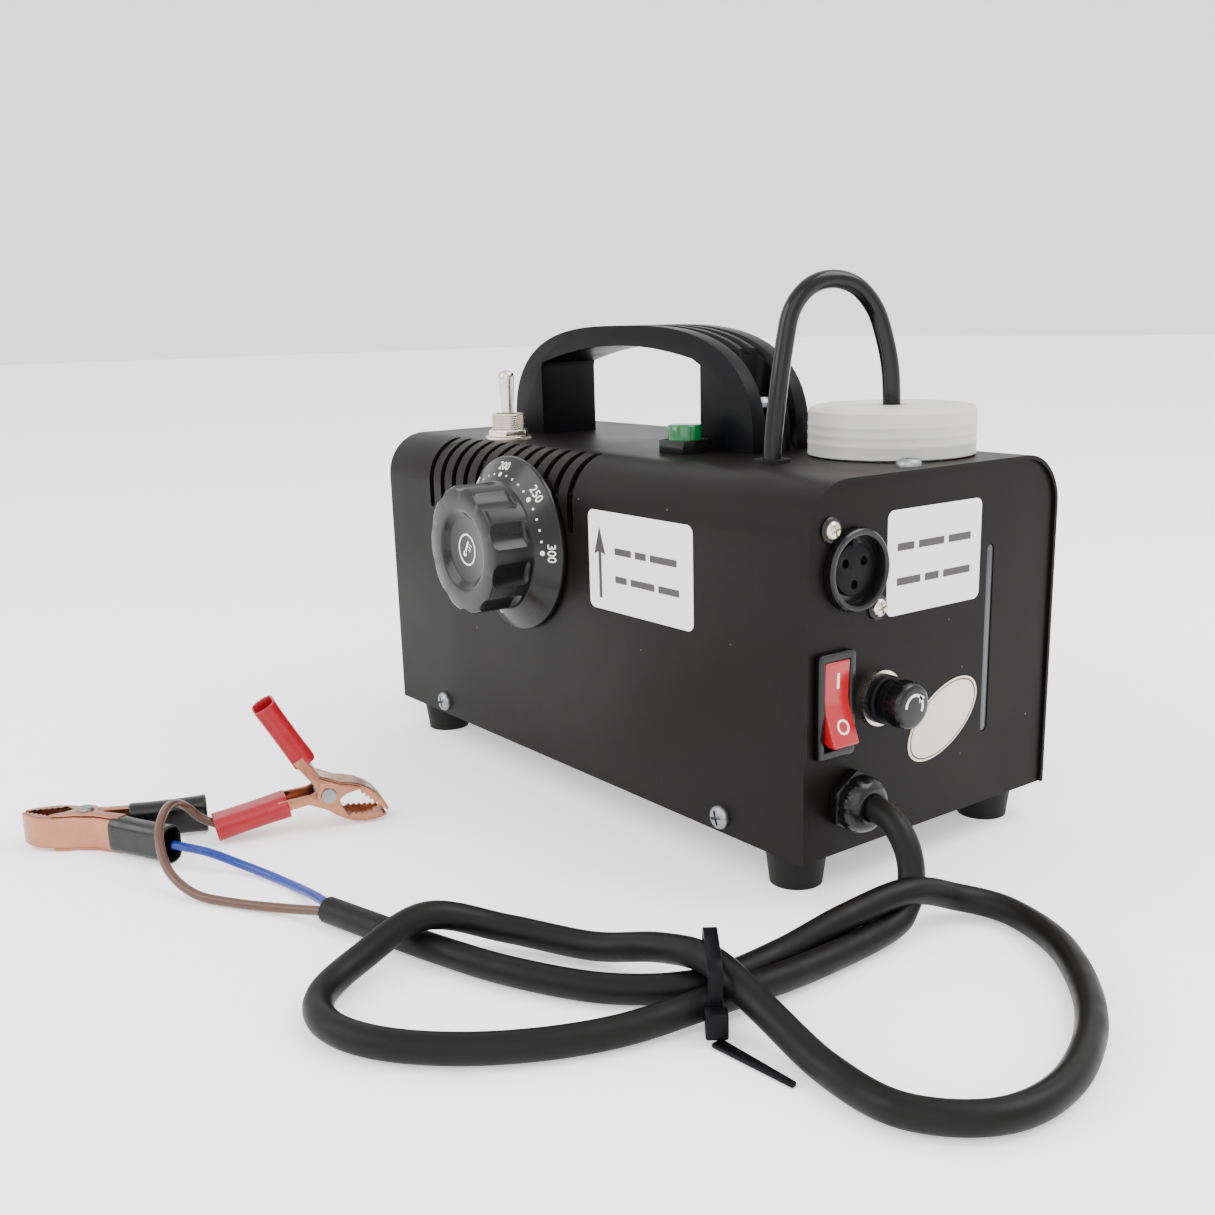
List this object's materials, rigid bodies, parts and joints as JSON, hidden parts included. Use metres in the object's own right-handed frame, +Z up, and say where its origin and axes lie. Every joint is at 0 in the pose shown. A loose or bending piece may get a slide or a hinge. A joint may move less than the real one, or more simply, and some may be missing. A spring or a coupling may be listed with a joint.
{
  "type": "fog machine",
  "caption": "Compact battery-powered fog machine: metal case with carrying handle, fluid bottle, dial thermostat, toggle and rocker switches, and a coiled lead with clips.",
  "frame": {"origin": "on the floor under the centre of the case, in the plane of the four feet", "axes": "+Z up, +Y towards the control panel with the lead, -Y towards the nozzle, +X towards the dial side"},
  "size_m": [0.2724, 0.3505, 0.1766],
  "materials": {
    "powder_coat": "satin warm-black powder coat",
    "nickel": "bright nickel plate",
    "black_rubber": "satin black rubber",
    "black_plastic": "semi-matt black moulded nylon and ABS",
    "gloss_black": "gloss black moulded plastic",
    "green_lens": "clear emerald-green acrylic",
    "red_plastic": "gloss red moulded plastic, white marks",
    "steel": "plain zinc-plated steel",
    "copper": "copper-plated spring steel",
    "aluminium": "as cast",
    "brass": "turned",
    "fuse_glass": "clear tube with nickel end caps",
    "bottle_plastic": "milky translucent polyethylene",
    "hose": "glossy black tubing",
    "green_board": "glass-epoxy circuit board with components",
    "label": "light grey-white printed vinyl",
    "sticker": "cream paper, dark ring",
    "blue_insulation": "blue PVC insulation",
    "brown_insulation": "brown PVC insulation",
    "red_sleeve": "glossy red soft PVC",
    "black_sleeve": "glossy black soft PVC"
  },
  "bodies": {
    "case": {"top_cover": "powder_coat", "base_pan": "powder_coat", "front_plate": "powder_coat", "rear_plate": "powder_coat", "cover_screws": "nickel", "feet": "black_rubber", "handle": "black_plastic", "handle_screws": "nickel", "toggle_body": "nickel", "toggle_nut": "nickel", "lamp_bezel": "black_plastic", "lamp_lens": "green_lens", "thermostat_body": "steel", "thermostat_bulb": "copper", "rocker_frame": "black_plastic", "fuse_holder": "black_plastic", "fuse_ring": "nickel", "xlr_shell": "gloss_black", "xlr_insert": "black_plastic", "xlr_screws": "nickel", "cable_gland": "black_plastic", "tank": "bottle_plastic", "dip_tube": "hose", "hose_grommet": "black_rubber", "feed_hose": "hose", "inlet_hose": "hose", "pump": "steel", "outlet_pipe": "brass", "heater_block": "aluminium", "heater_element": "steel", "heater_bracket": "steel", "nozzle": "brass", "relay_board": "green_board", "side_label": "label", "rear_label": "label", "check_sticker": "sticker", "power_cable": "black_rubber", "cable_tie": "black_plastic", "blue_wire": "blue_insulation", "brown_wire": "brown_insulation", "red_lower_jaw": "copper", "red_lower_sleeve": "red_sleeve", "red_rivet": "nickel", "red_spring": "steel", "black_rear_jaw": "copper", "black_rear_sleeve": "black_sleeve", "black_rivet": "nickel", "black_spring": "steel"},
    "toggle": {"toggle_lever": "nickel"},
    "dial": {"dial_shaft": "steel", "dial_knob": "gloss_black"},
    "rocker_switch": {"rocker": "red_plastic"},
    "fuse_carrier": {"fuse_tube": "fuse_glass"},
    "fuse_knob": {"fuse_cap": "gloss_black"},
    "cap_liner": {"cap_seal": "bottle_plastic"},
    "bottle_cap": {"tank_cap": "bottle_plastic"},
    "red_grip": {"red_upper_jaw": "copper", "red_upper_sleeve": "red_sleeve"},
    "black_grip": {"black_front_jaw": "copper", "black_front_sleeve": "black_sleeve"}
  },
  "joints": [
    {"name": "toggle_throw", "type": "hinge", "parent": "case", "child": "toggle", "pos_m": [0.032, -0.064, 0.121], "axis": [1, 0, 0], "range_deg": [-12, 12]},
    {"name": "dial_turn", "type": "hinge", "parent": "case", "child": "dial", "pos_m": [0.055, -0.0241, 0.0875], "axis": [1, 0, 0], "range_deg": [-165, 90]},
    {"name": "rocker_press", "type": "hinge", "parent": "case", "child": "rocker_switch", "pos_m": [0.043, 0.1155, 0.0572], "axis": [1, 0, 0], "range_deg": [-20, 0]},
    {"name": "fuse_out", "type": "slide", "parent": "case", "child": "fuse_carrier", "axis": [0, 1, 0], "range_m": [0, 0.003]},
    {"name": "fuse_turn", "type": "hinge", "parent": "fuse_carrier", "child": "fuse_knob", "pos_m": [0.024, 0.117, 0.0556], "axis": [0, 1, 0], "range_deg": [0, 720]},
    {"name": "cap_lift", "type": "slide", "parent": "case", "child": "cap_liner", "axis": [0, 0, 1], "range_m": [0, 0.009]},
    {"name": "cap_turn", "type": "hinge", "parent": "cap_liner", "child": "bottle_cap", "pos_m": [-0.0156, 0.0838, 0.1204], "axis": [0, 0, 1], "range_deg": [0, 1080]},
    {"name": "red_squeeze", "type": "hinge", "parent": "case", "child": "red_grip", "pos_m": [0.1305, -0.031, 0.012], "axis": [0.2588, 0.9659, 0], "range_deg": [0, 35], "stiffness_Nm_per_rad": 0.2, "springref_deg": -34.38},
    {"name": "black_squeeze", "type": "hinge", "parent": "case", "child": "black_grip", "pos_m": [0.1985, -0.0645, 0.0064], "axis": [0, 0, 1], "range_deg": [0, 10], "stiffness_Nm_per_rad": 0.2, "springref_deg": -34.38}
  ],
  "couplings": [
    {"joint": "fuse_turn", "follows": "fuse_out", "rad_per_m": 4188.8},
    {"joint": "cap_lift", "follows": "cap_turn", "m_per_rad": 0.000477}
  ]
}
